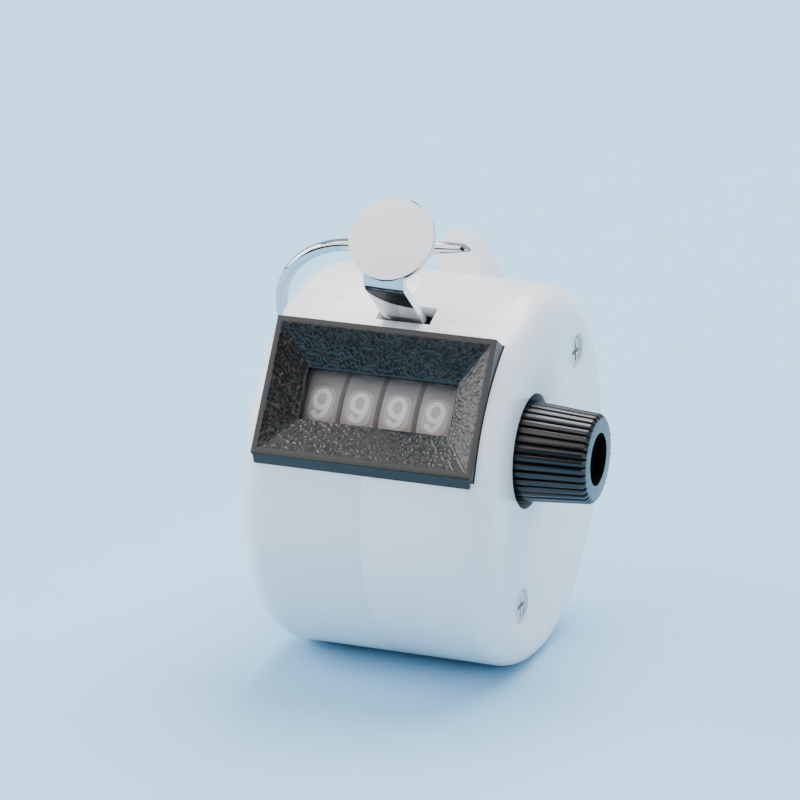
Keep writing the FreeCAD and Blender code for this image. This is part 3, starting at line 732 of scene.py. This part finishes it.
# ---------------------------------------------------------------- studio
@dataclass
class Viewpoint:
    """Where the camera stands: turned and raised about the drum, looking down a long lens."""

    azimuth: float = 20.1
    elevation: float = 17.78
    roll: float = 0.48
    distance_mm: float = 463.81
    aim_right_mm: float = -2.82
    aim_up_mm: float = 27.45
    aim_drop_mm: float = 0.348
    lens_mm: float = 183.1
    sensor_mm: float = 36.0
    nearest: float = 0.01
    farthest: float = 20.0

    def build(self) -> None:
        """Make the camera and make it the scene's own."""
        turn, rise, roll = (math.radians(a) for a in (self.azimuth, self.elevation, self.roll))
        ahead = Vector((-math.sin(turn) * math.cos(rise), math.cos(turn) * math.cos(rise), -math.sin(rise)))
        level = Vector((math.cos(turn), math.sin(turn), 0))
        upright = level.cross(ahead)
        right = level * math.cos(roll) + upright * math.sin(roll)
        up = right.cross(ahead)
        data = bpy.data.cameras.new("camera")
        data.lens = self.lens_mm
        data.sensor_width = self.sensor_mm
        data.clip_start = self.nearest
        data.clip_end = self.farthest
        camera = bpy.data.objects.new("camera", data)
        bpy.context.scene.collection.objects.link(camera)
        turned = Matrix((right, up, -ahead)).transposed().to_4x4()
        place = (right * self.aim_right_mm + up * self.aim_up_mm - ahead * self.distance_mm) * MM
        place.z -= self.aim_drop_mm * MM
        camera.matrix_world = Matrix.Translation(place) @ turned
        bpy.context.scene.camera = camera


@dataclass(frozen=True)
class SoftLight:
    """One square soft light: its name, its place and side in metres, and its power in watts."""

    name: str
    place: tuple[float, float, float]
    side: float
    power: float

    def build(self, aim_height: float) -> None:
        """Hang the light, facing the counter.

        Args:
            aim_height: Height of the point that it faces, in metres.
        """
        data = bpy.data.lights.new(self.name, "AREA")
        data.size = self.side
        data.energy = self.power
        light = bpy.data.objects.new(self.name, data)
        bpy.context.scene.collection.objects.link(light)
        light.location = self.place
        aim = Vector((0, 0, aim_height)) - Vector(self.place)
        light.rotation_euler = aim.to_track_quat("-Z", "Y").to_euler()


PAPER = Finish("pale blue backdrop paper", "#A0D3F4", 0.7, 0.03, 1.5, 0.004, 0.01)


@dataclass
class Studio:
    """Pale blue paper floor, large soft lights, and a room that is dark towards the viewer."""

    lights: tuple[SoftLight, ...] = (
        SoftLight("key", (-0.33, -0.57, 0.78), 1.0, 8.0),
        SoftLight("left", (-1.0, -0.1, 0.45), 0.8, 10.0),
        SoftLight("fill", (1.0, -0.5, 0.35), 0.7, 3.5),
        SoftLight("top", (0.1, 0.45, 0.95), 0.9, 22.0),
    )
    aim_height: float = 0.025
    sky_colour: str = "#E4EEF6"
    sky_strength: float = 0.75
    room_strength: float = 0.03
    darkest_direction: float = -0.8
    brightest_direction: float = 0.3
    floor_size: float = 8.0
    floor_squares: int = 8

    def floor(self) -> None:
        """Lay the floor at the counter's resting height."""
        sheet = bmesh.new()
        bmesh.ops.create_grid(sheet, x_segments=self.floor_squares, y_segments=self.floor_squares,
                              size=self.floor_size / 2)
        mesh = bpy.data.meshes.new("floor")
        sheet.to_mesh(mesh)
        sheet.free()
        ground = bpy.data.objects.new("floor", mesh)
        bpy.context.scene.collection.objects.link(ground)
        mesh.materials.append(PAPER.material())

    def sky(self) -> None:
        """Set the sky, which fades from bright behind the counter to dark in front of it."""
        world = bpy.data.worlds.new("sky")
        world.use_nodes = True
        tree = world.node_tree
        background = tree.nodes["Background"]
        background.inputs["Color"].default_value = linear(self.sky_colour)
        direction = add_node(tree, "ShaderNodeTexCoord")
        parts = add_node(tree, "ShaderNodeSeparateXYZ", {"Vector": (direction, "Generated")})
        level = add_node(tree, "ShaderNodeMapRange", {"Value": (parts, "Y")},
                         {"From Min": self.darkest_direction, "From Max": self.brightest_direction,
                          "To Min": self.room_strength, "To Max": self.sky_strength})
        tree.links.new(level.outputs["Result"], background.inputs["Strength"])
        bpy.context.scene.world = world

    def build(self) -> None:
        """Lay the floor, hang the lights and set the sky."""
        self.floor()
        for light in self.lights:
            light.build(self.aim_height)
        self.sky()


def main() -> None:
    """Build every sub-assembly in order."""
    logging.basicConfig(level=logging.INFO, format="%(name)s: %(message)s")
    for part in (Viewpoint(), Case(), Window(), NumberWheels(), Controls(), Movement(), Studio()):
        log.info("building %s", type(part).__name__)
        part.build()


if __name__ == "__main__":
    main()
